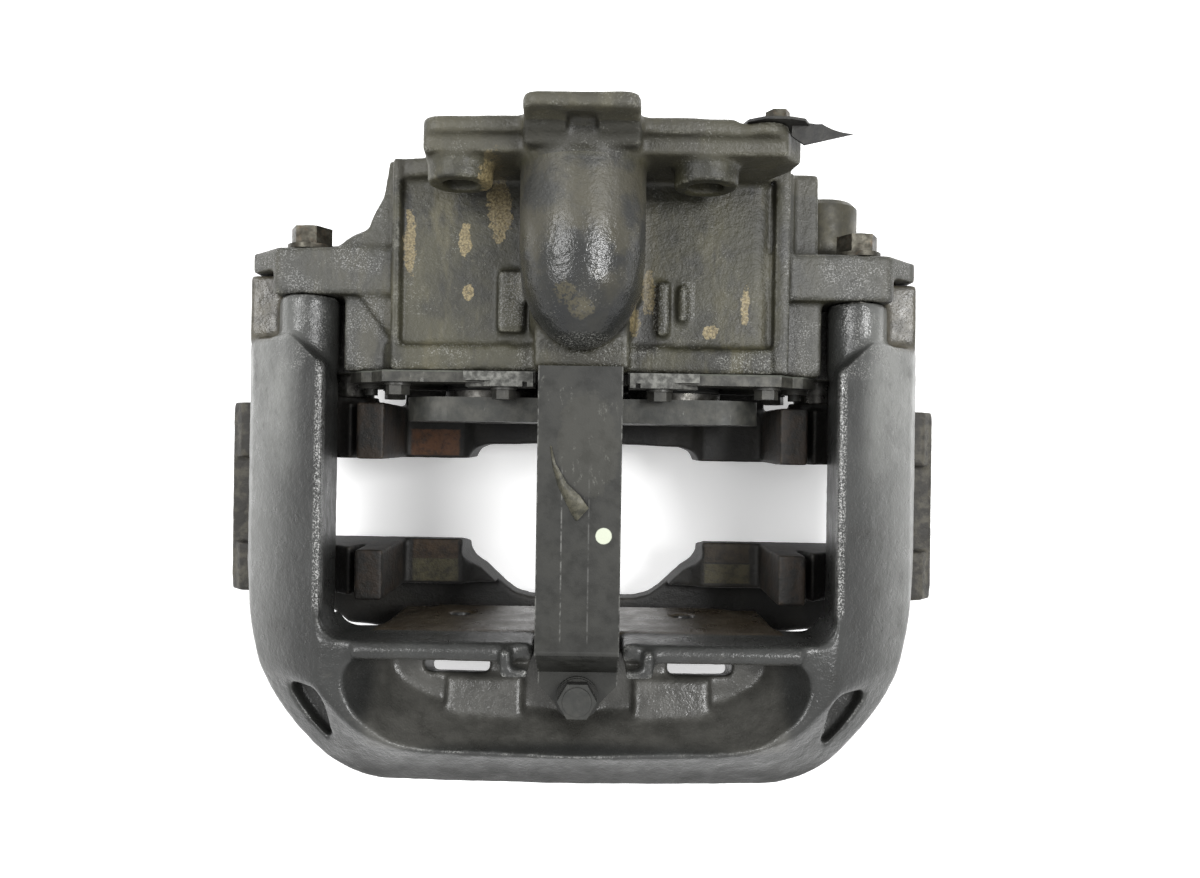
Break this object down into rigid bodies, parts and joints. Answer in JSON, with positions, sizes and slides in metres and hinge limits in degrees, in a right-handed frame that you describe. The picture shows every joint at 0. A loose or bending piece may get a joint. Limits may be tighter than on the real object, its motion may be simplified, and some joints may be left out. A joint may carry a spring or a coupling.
{
  "type": "air disc brake caliper",
  "caption": "Twin-tappet air disc brake caliper for a truck: cast housing, bridge and carrier, sliding on guide pins, with its lever, traverse, screws and gears inside.",
  "frame": {"origin": "middle of the bounding box in X and Y, at the carrier's lowest face in Z", "axes": "X along the wheel's tangent, +Y inboard towards the brake chamber, +Z radially outward; the wheel's axis is parallel to Y at X = 0, Z = -55 mm"},
  "size_m": [0.413, 0.343, 0.238],
  "materials": {
    "carrier_casting": "black paint worn to rust",
    "bridge_casting": "dark grey paint on rough casting",
    "housing_casting": "dark grey paint under olive dirt",
    "strap_steel": "dark grey paint",
    "cover_steel": "dull black",
    "fastener_steel": "phosphated",
    "leaf_steel": "oily black",
    "cap_steel": "brown dirt",
    "ground_steel": "ground",
    "forged_steel": "forged and greased",
    "gear_steel": "greased",
    "spring_steel": "oiled",
    "bronze": "turned",
    "black_rubber": "matte",
    "fibre": "matte",
    "plastic": "matte"
  },
  "bodies": {
    "carrier": {"carrier": "carrier_casting", "guide_sleeve_right": "ground_steel", "guide_sleeve_left": "ground_steel", "guide_bolts": "fastener_steel"},
    "caliper": {"housing": "housing_casting", "bridge": "bridge_casting", "bridge_bolts": "fastener_steel", "bridge_dowels": "ground_steel", "guide_bush_right": "bronze", "guide_bush_left": "bronze", "guide_seals": "black_rubber", "guide_cap_right": "cap_steel", "guide_cap_left": "cap_steel", "cover_plate": "cover_steel", "cover_gasket": "fibre", "cover_bolts": "fastener_steel", "cover_brackets": "cover_steel", "stub_pins": "cover_steel", "pad_retainer": "strap_steel", "retainer_bolt": "fastener_steel", "retainer_washer": "fastener_steel", "leaf_bracket": "leaf_steel", "leaf_washer": "fastener_steel", "leaf_screw": "fastener_steel", "bearing_shells": "ground_steel", "needle_rollers": "ground_steel", "tappet_boots": "black_rubber", "adjuster_bush": "bronze", "adjuster_cap": "plastic", "return_spring": "spring_steel"},
    "lever": {"lever": "forged_steel", "lever_cup": "plastic", "eccentric_rollers": "ground_steel"},
    "traverse": {"traverse": "forged_steel", "idler_stub": "ground_steel", "spring_seat": "spring_steel"},
    "tappets": {"tappet_heads": "ground_steel", "thrust_plate": "forged_steel"},
    "gear_right": {"gear_right": "gear_steel"},
    "gear_left": {"gear_left": "gear_steel"},
    "gear_idler": {"gear_idler": "gear_steel"},
    "spindle_right": {"spindle_right": "ground_steel"},
    "spindle_left": {"spindle_left": "ground_steel"},
    "adjuster": {"adjuster_shaft": "ground_steel", "adjuster_clutch": "ground_steel", "shear_adapter": "plastic"}
  },
  "joints": [
    {"name": "caliper_slide", "type": "slide", "parent": "carrier", "child": "caliper", "axis": [0, 1, 0], "range_m": [-0.001, 0.03]},
    {"name": "lever_turn", "type": "hinge", "parent": "caliper", "child": "lever", "pos_m": [0, 0.118, 0.11], "axis": [1, 0, 0], "range_deg": [0, 26], "stiffness_Nm_per_rad": 4, "springref_deg": -5.73},
    {"name": "traverse_stroke", "type": "slide", "parent": "caliper", "child": "traverse", "axis": [0, -1, 0], "range_m": [0, 0.00363], "deforming": ["return_spring"]},
    {"name": "tappet_advance", "type": "slide", "parent": "traverse", "child": "tappets", "axis": [0, -1, 0], "range_m": [0, 0.035], "deforming": ["tappet_boots"]},
    {"name": "gear_right_turn", "type": "hinge", "parent": "traverse", "child": "gear_right", "pos_m": [0.052, 0.072, 0.115], "axis": [0, -1, 0], "range_deg": [0, 2100.01]},
    {"name": "gear_left_turn", "type": "hinge", "parent": "traverse", "child": "gear_left", "pos_m": [-0.052, 0.072, 0.115], "axis": [0, -1, 0], "range_deg": [0, 2100.01]},
    {"name": "gear_idler_turn", "type": "hinge", "parent": "traverse", "child": "gear_idler", "pos_m": [0, 0.072, 0.115], "axis": [0, -1, 0], "range_deg": [-2450.01, 0]},
    {"name": "spindle_right_turn", "type": "hinge", "parent": "tappets", "child": "spindle_right", "pos_m": [0.052, 0.06, 0.115], "axis": [0, -1, 0], "range_deg": [0, 2100.01]},
    {"name": "spindle_left_turn", "type": "hinge", "parent": "tappets", "child": "spindle_left", "pos_m": [-0.052, 0.06, 0.115], "axis": [0, -1, 0], "range_deg": [0, 2100.01]},
    {"name": "adjuster_turn", "type": "hinge", "parent": "caliper", "child": "adjuster", "pos_m": [-0.052, 0.14, 0.115], "axis": [0, -1, 0], "range_deg": [0, 2100.01]}
  ],
  "couplings": [
    {"joint": "lever_turn", "follows": "traverse_stroke", "rad_per_m": 125},
    {"joint": "gear_right_turn", "follows": "tappet_advance", "rad_per_m": 1047.2},
    {"joint": "gear_left_turn", "follows": "tappet_advance", "rad_per_m": 1047.2},
    {"joint": "gear_idler_turn", "follows": "tappet_advance", "rad_per_m": -1221.7},
    {"joint": "spindle_right_turn", "follows": "tappet_advance", "rad_per_m": 1047.2},
    {"joint": "spindle_left_turn", "follows": "tappet_advance", "rad_per_m": 1047.2},
    {"joint": "adjuster_turn", "follows": "tappet_advance", "rad_per_m": 1047.2}
  ]
}
